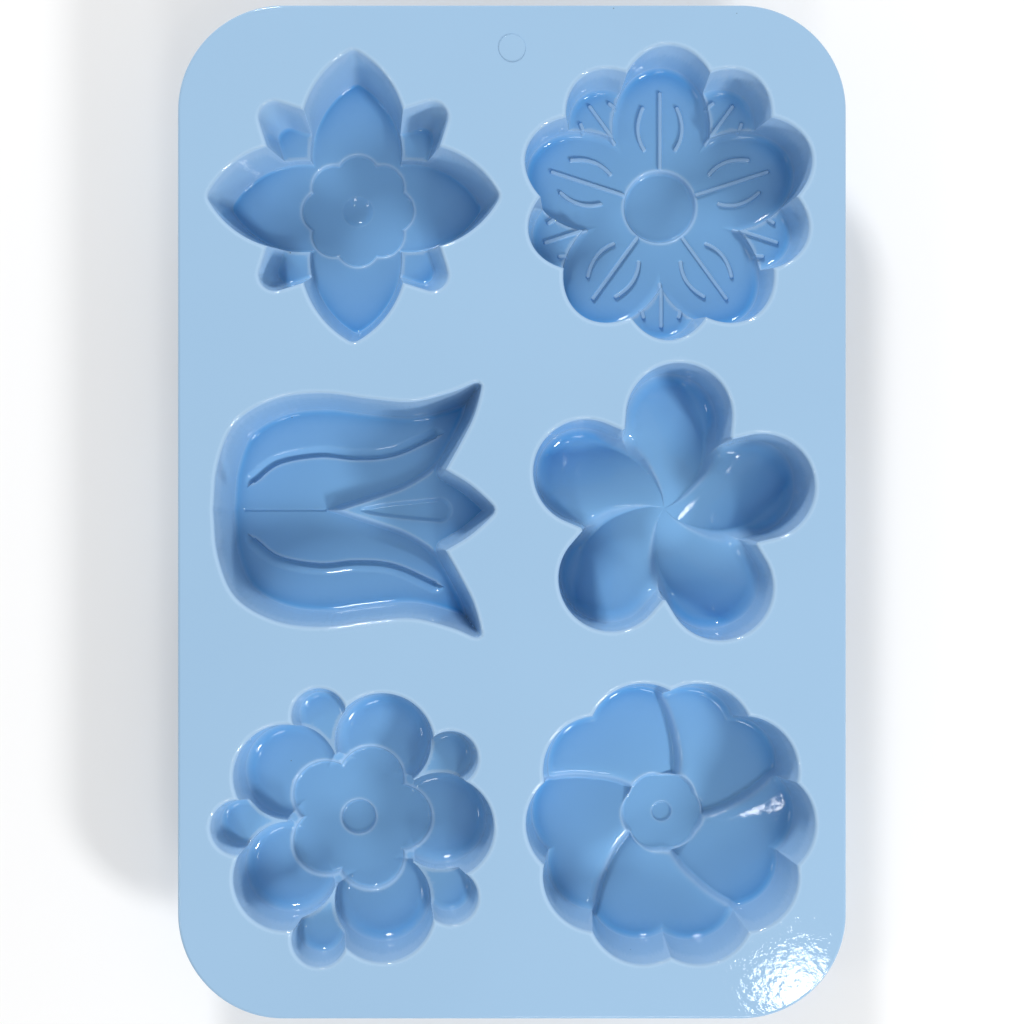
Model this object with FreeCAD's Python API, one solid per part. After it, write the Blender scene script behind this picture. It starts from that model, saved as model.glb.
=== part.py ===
import FreeCAD, Part
import math
import os

# Six-cavity silicone soap mould: one thin moulding, written as its sheet and its six cups.
# Millimetres. +Z up, +Y along the length, origin on the standing plane below the middle.

Vector = FreeCAD.Vector

# --- driving dimensions ---
SHEET_WIDTH = 171.4
SHEET_LENGTH = 260.0
CORNER_RADIUS = 27.0
SHEET_THICKNESS = 2.0
SHEET_EDGE_RADIUS = 0.8
WALL = 1.8
HEIGHT = 27.0
COLUMN_X = 40.7
TOP_ROW_Y = 81.0
MIDDLE_ROW_Y = 0.5
BOTTOM_ROW_Y = -81.0
PIP_DIAMETER = 7.0
PIP_HEIGHT = 0.3
PIP_Y = 119.0

PETALS = 5                          # in the daisy's two rounds, the pinwheel, rosette and blossom
PETAL_STEP = 360.0 / PETALS

SHEET_BOTTOM = HEIGHT - SHEET_THICKNESS
FULL_DEPTH = HEIGHT - WALL          # from the sheet's top face to the lowest cavity floor

# --- lotus: four lens petals, four small tabs between them, a scalloped heart ---
LENS_DISTANCE = 15.8                # lens middle, from the flower's centre
LENS_RIM = (24.6, 11.0)             # arc radius and how far each arc's centre is off the axis
LENS_FLOOR = (22.6, 11.0)
LENS_DEPTH = 22.6
TAB_RIM = (28.6, 4.2)               # distance and radius of the rounded end
TAB_FLOOR = (25.4, 3.4)
TAB_INNER = 14.0
TAB_SPREAD = 27.0                   # degrees from the tab's axis to each side
TAB_DEPTH = 18.0
SCALLOP_COUNT = 8
SCALLOP_DISTANCE = 9.3
SCALLOP_RADIUS = 6.3
SCALLOP_DRAFT = 0.4
SCALLOP_DEPTH = 24.0
LOTUS_DIMPLE_RADIUS = 4.1

# --- daisy: five long petals, five shorter ones between them, a round heart ---
PETAL_DISTANCE = 20.5
LONG_PETAL_RIM = (17.7, 13.0)       # half length and half width of the ellipse
LONG_PETAL_FLOOR = (15.8, 12.6)
LONG_PETAL_DEPTH = 23.0
LONG_PETAL_FIRST = 90.0
SHORT_PETAL_RIM = (16.9, 12.7)
SHORT_PETAL_FLOOR = (15.0, 11.0)
SHORT_PETAL_DEPTH = 19.4
DAISY_HEART_RADIUS = 9.7
DAISY_HEART_DRAFT = 0.5

# --- tulip: two side petals that end in horns, and a shallower middle petal ---
TULIP_DRAFT = 3.0
TULIP_BACK = [(-36.0, 0.0), (-34.8, 12.0), (-30.2, 22.5), (-20.0, 28.5), (-8.0, 30.0),
              (4.0, 28.6), (15.0, 27.8), (25.0, 30.2)]
TULIP_HORN_TIP = (33.2, 33.6)
TULIP_HORN_SIDE = [(31.0, 24.0), (27.5, 17.0)]
TULIP_NOTCH = (23.8, 10.4)
TULIP_MIDDLE_SIDE = [(30.0, 6.6)]
TULIP_MIDDLE_TIP = (37.4, 0.0)
MIDDLE_PETAL_DEPTH = 21.2
MIDDLE_PETAL_ROOT = (-8.0, 0.0)
MIDDLE_PETAL_EDGE = [(5.0, 4.5), (18.0, 10.5)]
MIDDLE_PETAL_END = (27.0, 19.0)

# --- pinwheel: five round lobes whose floors slope round the centre ---
PINWHEEL_LOBES = (PETALS, 23.8, 13.6, 11.6)   # count, distance, rim radius, floor radius
PINWHEEL_FIRST = 85.4
PINWHEEL_SHIFT_X = 0.7
PINWHEEL_CORE = (23.7, 21.2)        # radius of the round middle at the rim and at the floor
PINWHEEL_SHALLOW = 18.0
PINWHEEL_LOW_SIDE = 30.0            # the way the first petal's floor falls, degrees from +X
# A swirl edge is a run of (radius, angle) from the flower's centre outward.
PINWHEEL_SWIRL = [(0.0, 0.0), (5.0, 29.0), (13.0, 38.5), (24.2, 49.4), (46.0, 56.0)]

# --- rosette: five round petals, five small ones between them, a lobed heart ---
ROSETTE_PETALS = (PETALS, 22.3, 13.8, 12.1)
ROSETTE_BUDS = (PETALS, 31.2, 6.4, 5.0)
ROSETTE_BUD_NECKS = (PETALS, 25.2, 5.2, 4.4)
ROSETTE_PETAL_DEPTH = 21.4
ROSETTE_BUD_DEPTH = 12.5
ROSETTE_HEART = (PETALS, 10.85, 9.25, 8.75)
ROSETTE_HEART_DEPTH = 23.8
ROSETTE_EYE_RADIUS = 4.7

# --- blossom: ten-lobed outline, five petals of two lobes that step round the heart ---
BLOSSOM_LOBES = (10, 22.96, 14.2, 12.4)
BLOSSOM_FIRST = 72.0
BLOSSOM_CORE = (20.0, 19.5)
BLOSSOM_LOW_SIDE = 36.0
BLOSSOM_SHALLOW = 19.4
BLOSSOM_PETAL_DEPTH = 23.2
BLOSSOM_SWIRL = [(0.0, 54.0), (11.0, 68.0), (20.0, 80.0), (30.0, 90.0), (46.0, 101.0)]
BLOSSOM_HEART = (6, 3.5, 7.1, 6.8)
BLOSSOM_HEART_DEPTH = 24.2
BLOSSOM_EYE_RADIUS = 2.7
EYE_DRAFT = 0.3



def polar(distance, angle):
    """A point at a distance and an angle in degrees from the flower's centre."""
    return (distance * math.cos(math.radians(angle)), distance * math.sin(math.radians(angle)))


def spline(points, z):
    """A smooth edge through flat points at one height."""
    curve = Part.BSplineCurve()
    curve.interpolate([Vector(x, y, z) for x, y in points])
    return curve.toShape()


def tapered(rim, floor):
    """A solid with straight walls between a rim wire and a floor wire."""
    return Part.makeLoft([floor, rim], True, True)


def fused(solids):
    return solids[0].multiFuse(solids[1:]).removeSplitter()


def turned(solid, angle):
    return solid.rotated(Vector(0, 0, 0), Vector(0, 0, 1), angle)


def top_of(grow):
    """A cavity starts at the sheet's top face; the outer skin of a cup starts at its underside."""
    return SHEET_BOTTOM if grow else HEIGHT


def round_pocket(x, y, rim_radius, floor_radius, depth, grow=0.0):
    """A round tapered pocket; with grow it is the outer skin of the same pocket."""
    bottom = HEIGHT - depth - grow
    height = top_of(grow) - bottom
    return Part.makeCone(floor_radius + grow, rim_radius + grow, height, Vector(x, y, bottom))


def ring_of_pockets(lobes, first_angle, depth, grow=0.0):
    """Equal round pockets round the centre; lobes is count, distance, rim and floor radius."""
    count, distance, rim_radius, floor_radius = lobes
    pockets = []
    for index in range(count):
        x, y = polar(distance, first_angle + index * 360.0 / count)
        pockets.append(round_pocket(x, y, rim_radius, floor_radius, depth, grow))
    return pockets


# --- lotus ---

def lens_wire(radius, offset, z):
    """Two arcs that meet in points on the X axis, either side of LENS_DISTANCE."""
    half_length = math.sqrt(radius ** 2 - offset ** 2)
    near = Vector(LENS_DISTANCE - half_length, 0, z)
    far = Vector(LENS_DISTANCE + half_length, 0, z)
    left = Vector(LENS_DISTANCE, radius - offset, z)
    right = Vector(LENS_DISTANCE, offset - radius, z)
    return Part.Wire([Part.Arc(near, right, far).toShape(), Part.Arc(far, left, near).toShape()])


def tab_wire(distance, radius, z):
    """A wedge that narrows outward to a rounded end, along the X axis."""
    spread = math.radians(TAB_SPREAD)
    touch_x = distance + radius * math.sin(spread)
    touch_y = radius * math.cos(spread)
    inner_y = touch_y + (touch_x - TAB_INNER) * math.tan(spread)
    corners = [Vector(TAB_INNER, -inner_y, z), Vector(touch_x, -touch_y, z),
               Vector(touch_x, touch_y, z), Vector(TAB_INNER, inner_y, z)]
    end = Part.Arc(corners[1], Vector(distance + radius, 0, z), corners[2]).toShape()
    return Part.Wire([Part.makeLine(corners[0], corners[1]), end,
                      Part.makeLine(corners[2], corners[3]), Part.makeLine(corners[3], corners[0])])


def lotus_pockets(grow):
    lens = tapered(lens_wire(LENS_RIM[0] + grow, LENS_RIM[1], top_of(grow)),
                   lens_wire(LENS_FLOOR[0] + grow, LENS_FLOOR[1], HEIGHT - LENS_DEPTH - grow))
    tab = tapered(tab_wire(TAB_RIM[0], TAB_RIM[1] + grow, top_of(grow)),
                  tab_wire(TAB_FLOOR[0], TAB_FLOOR[1] + grow, HEIGHT - TAB_DEPTH - grow))
    pockets = []
    for quarter in range(4):
        pockets.append(turned(lens, 90.0 * quarter))
        pockets.append(turned(tab, 90.0 * quarter + 45.0))
    scallops = (SCALLOP_COUNT, SCALLOP_DISTANCE, SCALLOP_RADIUS, SCALLOP_RADIUS - SCALLOP_DRAFT)
    pockets += ring_of_pockets(scallops, 0.0, SCALLOP_DEPTH, grow)
    core_radius = SCALLOP_DISTANCE + SCALLOP_DRAFT
    pockets.append(round_pocket(0, 0, core_radius, SCALLOP_DISTANCE, SCALLOP_DEPTH, grow))
    dimple_radius = LOTUS_DIMPLE_RADIUS
    pockets.append(round_pocket(0, 0, dimple_radius, dimple_radius - SCALLOP_DRAFT, FULL_DEPTH, grow))
    return pockets


# --- daisy ---

def petal_wire(half_length, half_width, z):
    ellipse = Part.Ellipse(Vector(PETAL_DISTANCE, 0, z), half_length, half_width)
    quarter = math.pi / 2.0
    outer_half = Part.ArcOfEllipse(ellipse, -quarter, quarter)
    inner_half = Part.ArcOfEllipse(ellipse, quarter, 3.0 * quarter)
    return Part.Wire([outer_half.toShape(), inner_half.toShape()])


def petal_pocket(rim, floor, depth, grow):
    return tapered(petal_wire(rim[0] + grow, rim[1] + grow, top_of(grow)),
                   petal_wire(floor[0] + grow, floor[1] + grow, HEIGHT - depth - grow))


def daisy_pockets(grow):
    long_petal = petal_pocket(LONG_PETAL_RIM, LONG_PETAL_FLOOR, LONG_PETAL_DEPTH, grow)
    short_petal = petal_pocket(SHORT_PETAL_RIM, SHORT_PETAL_FLOOR, SHORT_PETAL_DEPTH, grow)
    pockets = []
    for index in range(PETALS):
        long_angle = LONG_PETAL_FIRST + PETAL_STEP * index
        pockets.append(turned(long_petal, long_angle))
        pockets.append(turned(short_petal, long_angle + PETAL_STEP / 2.0))
    heart_radius = DAISY_HEART_RADIUS
    pockets.append(round_pocket(0, 0, heart_radius, heart_radius - DAISY_HEART_DRAFT, FULL_DEPTH, grow))
    return pockets


# --- tulip ---

def mirrored(points):
    return [(x, -y) for x, y in reversed(points)]


def grown_outline(sides, distance):
    """Smooth sides that meet in corners, each point moved outward; the outline runs clockwise."""
    loop = []
    for side in sides:
        loop += side[:-1]
    corners = {side[0] for side in sides}
    moved = {}
    for index, point in enumerate(loop):
        before = loop[index - 1]
        after = loop[(index + 1) % len(loop)]
        normals = []
        for start, end in ((before, point), (point, after)):
            length = math.dist(start, end)
            normals.append(((start[1] - end[1]) / length, (end[0] - start[0]) / length))
        across = (normals[0][0] + normals[1][0], normals[0][1] + normals[1][1])
        size = math.hypot(*across)
        reach = 2.0 * distance / size if point in corners else distance
        moved[point] = (point[0] + across[0] / size * reach, point[1] + across[1] / size * reach)
    return [[moved[point] for point in side] for side in sides]


def tulip_sides():
    back = mirrored(TULIP_BACK[1:]) + TULIP_BACK
    tip, notch, middle = TULIP_HORN_TIP, TULIP_NOTCH, TULIP_MIDDLE_TIP
    low_tip, low_notch = (tip[0], -tip[1]), (notch[0], -notch[1])
    return [[low_tip] + back + [tip],
            [tip] + TULIP_HORN_SIDE + [notch],
            [notch] + TULIP_MIDDLE_SIDE + [middle],
            [middle] + mirrored(TULIP_MIDDLE_SIDE) + [low_notch],
            [low_notch] + mirrored(TULIP_HORN_SIDE) + [low_tip]]


def tulip_wire(distance, z):
    return Part.Wire([spline(side, z) for side in grown_outline(tulip_sides(), distance)])


def tulip_skin(grow):
    floor = HEIGHT - FULL_DEPTH - grow
    return tapered(tulip_wire(grow, top_of(grow)), tulip_wire(grow - TULIP_DRAFT, floor))


def middle_petal_block():
    """What fills the tulip below its middle petal, between the two step edges."""
    floor = HEIGHT - FULL_DEPTH
    edge = [MIDDLE_PETAL_ROOT] + MIDDLE_PETAL_EDGE + [MIDDLE_PETAL_END]
    upper = spline(edge, floor)
    lower = spline(mirrored(edge), floor)
    far_x = SHEET_WIDTH / 4.0
    end = MIDDLE_PETAL_END
    outside = Part.makePolygon([Vector(end[0], end[1], floor), Vector(far_x, end[1], floor),
                                Vector(far_x, -end[1], floor), Vector(end[0], -end[1], floor)])
    face = Part.Face(Part.Wire([upper] + outside.Edges + [lower]))
    return face.extrude(Vector(0, 0, FULL_DEPTH - MIDDLE_PETAL_DEPTH))


# --- pinwheel and blossom: petals between swirl edges, each with a floor that slopes ---

def swirl_sector(swirl, first_angle, height):
    """A prism between one swirl edge and the next, from the centre out past the rim."""
    start = [polar(radius, angle + first_angle) for radius, angle in swirl]
    end = [polar(radius, angle + first_angle + PETAL_STEP) for radius, angle in swirl]
    far_radius = swirl[-1][0]
    middle = polar(far_radius, swirl[-1][1] + first_angle + PETAL_STEP / 2.0)
    far_arc = Part.Arc(Vector(*start[-1], 0), Vector(*middle, 0), Vector(*end[-1], 0)).toShape()
    face = Part.Face(Part.Wire([spline(start, 0), far_arc, spline(end[::-1], 0)]))
    return face.extrude(Vector(0, 0, height))


def sloping_petals(skin, swirl, deep, shallow, low_angle):
    """Cuts a skin into five petals; each floor is deepest towards low_angle in its own sector."""
    reach = swirl[-1][0]
    slope = math.degrees(math.atan2(deep - shallow, reach))
    petals = []
    for index in range(PETALS):
        angle = PETAL_STEP * index
        side = 4.0 * reach          # the box stays wider than the flower once it is moved
        above = Part.makeBox(side, side, HEIGHT, Vector(-side / 2.0, -side / 2.0, 0))
        above.rotate(Vector(0, 0, 0), Vector(0, 1, 0), slope)
        above.translate(Vector(0, 0, HEIGHT - (deep + shallow) / 2.0))
        above = turned(above, low_angle + angle)
        middle_angle = math.radians(swirl[2][1] + PETAL_STEP / 2.0 + angle)
        middle_x = math.cos(middle_angle) * reach / 2.0
        middle_y = math.sin(middle_angle) * reach / 2.0
        above.translate(Vector(middle_x, middle_y, 0))
        petals.append(skin.common(swirl_sector(swirl, angle, HEIGHT)).common(above))
    return petals


def lobed_skin(lobes, first_angle, core, depth, grow):
    return fused([round_pocket(0, 0, *core, depth, grow)]
                 + ring_of_pockets(lobes, first_angle, depth, grow))


# --- rosette ---

def rosette_pockets(grow):
    pockets = ring_of_pockets(ROSETTE_PETALS, 0.0, ROSETTE_PETAL_DEPTH, grow)
    for buds in (ROSETTE_BUDS, ROSETTE_BUD_NECKS):
        pockets += ring_of_pockets(buds, PETAL_STEP / 2.0, ROSETTE_BUD_DEPTH, grow)
    pockets += ring_of_pockets(ROSETTE_HEART, 0.0, ROSETTE_HEART_DEPTH, grow)
    eye_radius = ROSETTE_EYE_RADIUS
    pockets.append(round_pocket(0, 0, eye_radius, eye_radius - EYE_DRAFT, FULL_DEPTH, grow))
    return pockets


# --- cavities and outer skins, each round its own flower centre ---

def pinwheel_cavity():
    skin = lobed_skin(PINWHEEL_LOBES, PINWHEEL_FIRST, PINWHEEL_CORE, FULL_DEPTH, 0.0)
    petals = sloping_petals(skin, PINWHEEL_SWIRL, FULL_DEPTH, PINWHEEL_SHALLOW, PINWHEEL_LOW_SIDE)
    return fused(petals).translated(Vector(PINWHEEL_SHIFT_X, 0, 0))


def pinwheel_skin():
    skin = lobed_skin(PINWHEEL_LOBES, PINWHEEL_FIRST, PINWHEEL_CORE, FULL_DEPTH, WALL)
    return skin.translated(Vector(PINWHEEL_SHIFT_X, 0, 0))


def blossom_cavity():
    skin = lobed_skin(BLOSSOM_LOBES, BLOSSOM_FIRST, BLOSSOM_CORE, FULL_DEPTH, 0.0)
    petals = sloping_petals(skin, BLOSSOM_SWIRL, BLOSSOM_PETAL_DEPTH, BLOSSOM_SHALLOW,
                            BLOSSOM_LOW_SIDE)
    eye_radius = BLOSSOM_EYE_RADIUS
    heart = ring_of_pockets(BLOSSOM_HEART, 0.0, BLOSSOM_HEART_DEPTH)
    heart.append(round_pocket(0, 0, eye_radius, eye_radius - EYE_DRAFT, FULL_DEPTH))
    return fused(petals + heart)


def blossom_skin():
    return lobed_skin(BLOSSOM_LOBES, BLOSSOM_FIRST, BLOSSOM_CORE, FULL_DEPTH, WALL)


def sheet_plate():
    """The flat sheet with rounded corners and edges, before the flowers are cut out of it."""
    half_x = SHEET_WIDTH / 2.0
    half_y = SHEET_LENGTH / 2.0
    block = Part.makeBox(SHEET_WIDTH, SHEET_LENGTH, SHEET_THICKNESS,
                         Vector(-half_x, -half_y, SHEET_BOTTOM))
    uprights = [edge for edge in block.Edges if abs(edge.Vertexes[0].Z - edge.Vertexes[1].Z) > 1.0]
    plate = block.makeFillet(CORNER_RADIUS, uprights)
    outline = [edge for edge in plate.Edges if edge.BoundBox.ZLength < SHEET_THICKNESS / 2.0]
    plate = plate.makeFillet(SHEET_EDGE_RADIUS, outline)
    pip = Part.makeCylinder(PIP_DIAMETER / 2.0, SHEET_THICKNESS / 2.0 + PIP_HEIGHT,
                            Vector(0, PIP_Y, HEIGHT - SHEET_THICKNESS / 2.0))
    return plate.fuse(pip).removeSplitter()


FLOWERS = {
    "lotus_cup": (-COLUMN_X, TOP_ROW_Y, fused(lotus_pockets(0.0)), fused(lotus_pockets(WALL))),
    "daisy_cup": (COLUMN_X, TOP_ROW_Y, fused(daisy_pockets(0.0)), fused(daisy_pockets(WALL))),
    "tulip_cup": (-COLUMN_X, MIDDLE_ROW_Y, tulip_skin(0.0).cut(middle_petal_block()),
                  tulip_skin(WALL)),
    "pinwheel_cup": (COLUMN_X, MIDDLE_ROW_Y, pinwheel_cavity(), pinwheel_skin()),
    "rosette_cup": (-COLUMN_X, BOTTOM_ROW_Y, fused(rosette_pockets(0.0)),
                    fused(rosette_pockets(WALL))),
    "blossom_cup": (COLUMN_X, BOTTOM_ROW_Y, blossom_cavity(), blossom_skin()),
}


def build():
    parts = {}
    sheet = sheet_plate()
    for name, (x, y, cavity, skin) in FLOWERS.items():
        place = Vector(x, y, 0)
        cavity = cavity.translated(place)
        parts[name] = skin.translated(place).cut(cavity).removeSplitter()
        sheet = sheet.cut(cavity)
    parts["top_sheet"] = sheet.removeSplitter()
    return parts


os.makedirs("parts", exist_ok=True)
for name, shape in build().items():
    solid = shape.Solids[0] if len(shape.Solids) == 1 else shape
    solid.exportStep("parts/" + name + ".step")
    box = solid.BoundBox
    print(name, len(shape.Solids), solid.isValid(), round(solid.Volume),
          [round(value, 2) for value in (box.XMin, box.XMax, box.YMin, box.YMax, box.ZMin, box.ZMax)])
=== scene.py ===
import math

import bpy
import numpy as np
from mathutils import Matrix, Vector
from mathutils.geometry import tessellate_polygon


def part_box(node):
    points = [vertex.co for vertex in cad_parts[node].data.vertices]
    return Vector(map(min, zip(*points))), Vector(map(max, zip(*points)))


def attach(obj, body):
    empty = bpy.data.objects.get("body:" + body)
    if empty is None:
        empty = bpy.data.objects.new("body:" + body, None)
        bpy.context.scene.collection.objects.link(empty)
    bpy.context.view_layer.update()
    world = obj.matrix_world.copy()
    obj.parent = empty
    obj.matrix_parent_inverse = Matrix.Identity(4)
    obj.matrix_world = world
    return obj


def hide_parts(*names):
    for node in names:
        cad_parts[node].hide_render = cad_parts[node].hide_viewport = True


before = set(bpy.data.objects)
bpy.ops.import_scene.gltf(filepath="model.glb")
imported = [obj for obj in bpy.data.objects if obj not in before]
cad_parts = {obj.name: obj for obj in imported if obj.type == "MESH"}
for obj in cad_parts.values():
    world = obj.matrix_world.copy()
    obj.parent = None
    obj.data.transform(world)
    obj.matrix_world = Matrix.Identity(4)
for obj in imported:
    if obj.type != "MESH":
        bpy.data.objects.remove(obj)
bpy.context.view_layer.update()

# The mould is one thin silicone skin: every cavity is a depth below the sheet's top face,
# worked out from signed distances to petal outlines, and meshed finely only where it bends.
# Lengths are in millimetres until a mesh is made.

MM = 0.001
SHEET_LOW, SHEET_HIGH = (Vector(corner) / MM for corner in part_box("top_sheet"))
PIP_HEIGHT = 0.3
TOP = SHEET_HIGH.z - PIP_HEIGHT
SHEET_THICKNESS = 2.0
WALL = 1.8
FULL_DEPTH = TOP - WALL
CORNER_RADIUS = 27.0
EDGE_RADIUS = 0.8
PIP_RADIUS = 3.5
PIP_Y = 119.0

COLUMN_X = 40.7
TOP_ROW_Y = 81.0
MIDDLE_ROW_Y = 0.5
BOTTOM_ROW_Y = -81.0

CELL_HALF = 40.0                    # each flower is meshed in a square this far each way
CELL_TILES = 8                      # the square's corner tiles are left to the sheet
FINE_STEPS = 1024
COARSE_STEPS = 512
FINE_TOLERANCE = 0.016
COARSE_TOLERANCE = 0.06

RIM_RADIUS = 1.0
FLOOR_RADIUS = 2.0
SKIN_RIM_RADIUS = 1.2
SKIN_FLOOR_RADIUS = 2.6
PETALS = 5                          # in the daisy's two rounds, the pinwheel, rosette and blossom
PETAL_STEP = 360.0 / PETALS

BLEND = 0.5                         # how softly two pockets or outlines run together
SHARP = 0.15
HEART_BLEND = 0.3                   # the same for the small lobed hearts
LOBE_OVERLAP = 0.3                  # how far a lobed outline's round middle reaches into its lobes
LEAST_RUN = 0.05                    # of a wall from its rim to its floor, seen from above
SKIN_DRAFT = 0.5                    # of the skin under a heart or an eye


# --- signed distances and how they become depths ---

def smooth_min(a, b, width):
    overlap = np.clip(width - np.abs(a - b), 0.0, None) / width
    return np.minimum(a, b) - overlap * overlap * width / 4.0


def smooth_max(a, b, width):
    return -smooth_min(-a, -b, width)


def ease(low, high, value):
    """0 below low, 1 above high, smooth between."""
    t = np.clip((value - low) / (high - low), 0.0, 1.0)
    return t * t * (3.0 - 2.0 * t)


def circle(x, y, centre_x, centre_y, radius):
    return np.hypot(x - centre_x, y - centre_y) - radius


def ellipse(x, y, half_length, half_width):
    """Close to the true distance near the outline."""
    near = np.hypot(x / half_length, y / half_width)
    slope = np.hypot(x / half_length ** 2, y / half_width ** 2) + 1e-9
    return near * (near - 1.0) / slope


def folded(x, y, count, first_angle):
    """Coordinates along and across the nearest of count axes, and of the next nearest."""
    step = 2.0 * math.pi / count
    radius = np.hypot(x, y)
    angle = np.mod(np.arctan2(y, x) - math.radians(first_angle) + step / 2.0, step) - step / 2.0
    other = np.abs(angle) - step
    nearest = (radius * np.cos(angle), radius * np.sin(angle))
    return nearest, (radius * np.cos(other), radius * np.sin(other))


def ring(x, y, count, first_angle, shape, width=BLEND):
    """Distance to a shape repeated round the centre; shape must be even across its axis."""
    nearest, other = folded(x, y, count, first_angle)
    return smooth_min(shape(*nearest), shape(*other), width)


def lobes(x, y, count, first_angle, distance, radius, width=BLEND):
    """Distance to equal circles round the centre and the round middle that they enclose."""
    outer = ring(x, y, count, first_angle, lambda u, v: circle(u, v, distance, 0.0, radius), width)
    return np.minimum(outer, np.hypot(x, y) - distance + LOBE_OVERLAP * radius)


def wall(rim, floor, depth, rim_radius=RIM_RADIUS, floor_radius=FLOOR_RADIUS):
    """Depth of a pocket whose wall runs from the rim outline to the floor outline.

    The wall is straight in section, with a round fillet at the rim and one at the floor.
    """
    inward = -rim
    run = np.maximum(floor - rim, LEAST_RUN)
    half_angle = np.arctan2(depth, run) / 2.0
    cosine = run / np.hypot(run, depth)
    tangent = np.tan(half_angle)
    top_reach, floor_reach = rim_radius * tangent, floor_radius * tangent
    result = inward * depth / run
    over = np.clip(inward + top_reach, 0.0, rim_radius)
    top_arc = rim_radius - np.sqrt(np.clip(rim_radius ** 2 - over ** 2, 0.0, None))
    result = np.where(inward < top_reach * cosine, top_arc, result)
    under = np.clip(run + floor_reach - inward, 0.0, floor_radius)
    floor_arc = depth - floor_radius + np.sqrt(np.clip(floor_radius ** 2 - under ** 2, 0.0, None))
    result = np.where(inward > run - floor_reach * cosine, floor_arc, result)
    return np.where(inward <= -top_reach, 0.0, np.minimum(result, depth))


def sunk(outline, depth, draft, rim_radius, floor_radius):
    """Depth of a small step down inside an outline."""
    return wall(outline, outline + draft, depth, rim_radius, floor_radius)


def joined(depths, width=BLEND):
    """The deepest of several pockets, with soft creases where they meet below the sheet."""
    result = depths[0]
    for other in depths[1:]:
        local = np.minimum(width, 2.0 * np.minimum(result, other)) + 1e-6
        result = smooth_max(result, other, local)
    return result


def groove(distance, half_width, depth):
    """Depth of a soft-edged channel along a centre line."""
    return depth * (1.0 - ease(0.0, half_width, distance))


def distance_to_path(x, y, points):
    """Distance to a run of straight pieces, how far along it and on which side the point is."""
    best = np.full(x.shape, 1e9)
    along = np.zeros(x.shape)
    side = np.zeros(x.shape)
    start_length = 0.0
    for (x0, y0), (x1, y1) in zip(points[:-1], points[1:]):
        length = math.hypot(x1 - x0, y1 - y0)
        dx, dy = (x1 - x0) / length, (y1 - y0) / length
        t = np.clip((x - x0) * dx + (y - y0) * dy, 0.0, length)
        away = np.hypot(x - x0 - t * dx, y - y0 - t * dy)
        closer = away < best
        best = np.where(closer, away, best)
        along = np.where(closer, start_length + t, along)
        side = np.where(closer, np.sign((y - y0) * dx - (x - x0) * dy), side)
        start_length += length
    return best, along, side


def curve_points(points, pieces=6):
    """Points on a smooth curve through given ones (Catmull-Rom)."""
    ends = [2 * np.array(points[0]) - points[1]] + [np.array(p) for p in points]
    ends.append(2 * np.array(points[-1]) - points[-2])
    result = []
    for a, b, c, d in zip(ends, ends[1:], ends[2:], ends[3:]):
        for step in range(pieces):
            t = step / pieces
            result.append(0.5 * (2 * b + (c - a) * t + (2 * a - 5 * b + 4 * c - d) * t ** 2
                                 + (3 * b - a - 3 * c + d) * t ** 3))
    result.append(ends[-2])
    return [tuple(point) for point in result]


def bowed(points, pieces=12):
    """Points on one smooth bow through three given ones; two make a straight line."""
    if len(points) == 2:
        return points
    start, middle, end = (np.array(point) for point in points)
    control = 2.0 * middle - (start + end) / 2.0
    steps = np.linspace(0.0, 1.0, pieces + 1)
    return [tuple(start * (1 - t) ** 2 + control * 2 * t * (1 - t) + end * t ** 2) for t in steps]


def skin(rim, floor, depth):
    """Depth of a cup's outer skin below the sheet's top face."""
    drop = depth + WALL - SHEET_THICKNESS
    return SHEET_THICKNESS + wall(rim - WALL, floor - WALL, drop, SKIN_RIM_RADIUS, SKIN_FLOOR_RADIUS)


def sunk_skin(outline, depth):
    """The same under a heart or an eye."""
    return skin(outline, outline + SKIN_DRAFT, depth)


# --- lotus ---

LOTUS_PETALS = 4
LENS_DISTANCE = 15.8
LENS_RIM = (24.6, 11.0)             # arc radius and how far each arc's centre is off the axis
LENS_FLOOR = (22.2, 10.4)
LENS_FLOOR_DISTANCE = 13.8
LENS_FLOOR_FILLET = 0.9
LENS_TIP_ROUNDING = 1.2
LENS_DEPTH = 22.6
TAB_FIRST = 45.0
TAB_RIM = (28.6, 4.2)               # distance and radius of the round end
TAB_FLOOR = (24.8, 3.0)
TAB_SPREAD = 27.0
TAB_DEPTH = 18.0
TAB_FLOOR_FILLET = 1.2
SCALLOP_DEPTH = 24.0
SCALLOP_COUNT = 8
SCALLOPS = (9.0, 6.1)               # distance and radius
SCALLOPS_REACH = 15.0
SCALLOPS_PLACE = (0.3, -0.6)
SCALLOPS_STEP = (0.5, 0.35, 0.35)   # draft, rim radius and floor radius
SCALLOPS_FADE = (2.0, 6.0)          # depths between which the disc's step comes in
DIMPLE_RADIUS = 4.1
DIMPLE_SPHERE = 7.0
DIMPLE_SPARE = 0.5                  # how much deeper than the deepest floor the dimple may go


def lens(u, v, distance, radius, offset):
    return smooth_max(circle(u, v, distance, offset, radius), circle(u, v, distance, -offset, radius),
                      LENS_TIP_ROUNDING)


def wedge(u, v, distance, radius, spread):
    """A tab that narrows outward to a round end; spread is in degrees from its axis to a side."""
    c, s = math.cos(math.radians(spread)), math.sin(math.radians(spread))
    along, across = u - distance, np.abs(v)
    beside = across * s - along * c > 0.0
    return np.where(beside, along * s + across * c, np.hypot(along, across)) - radius


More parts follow.
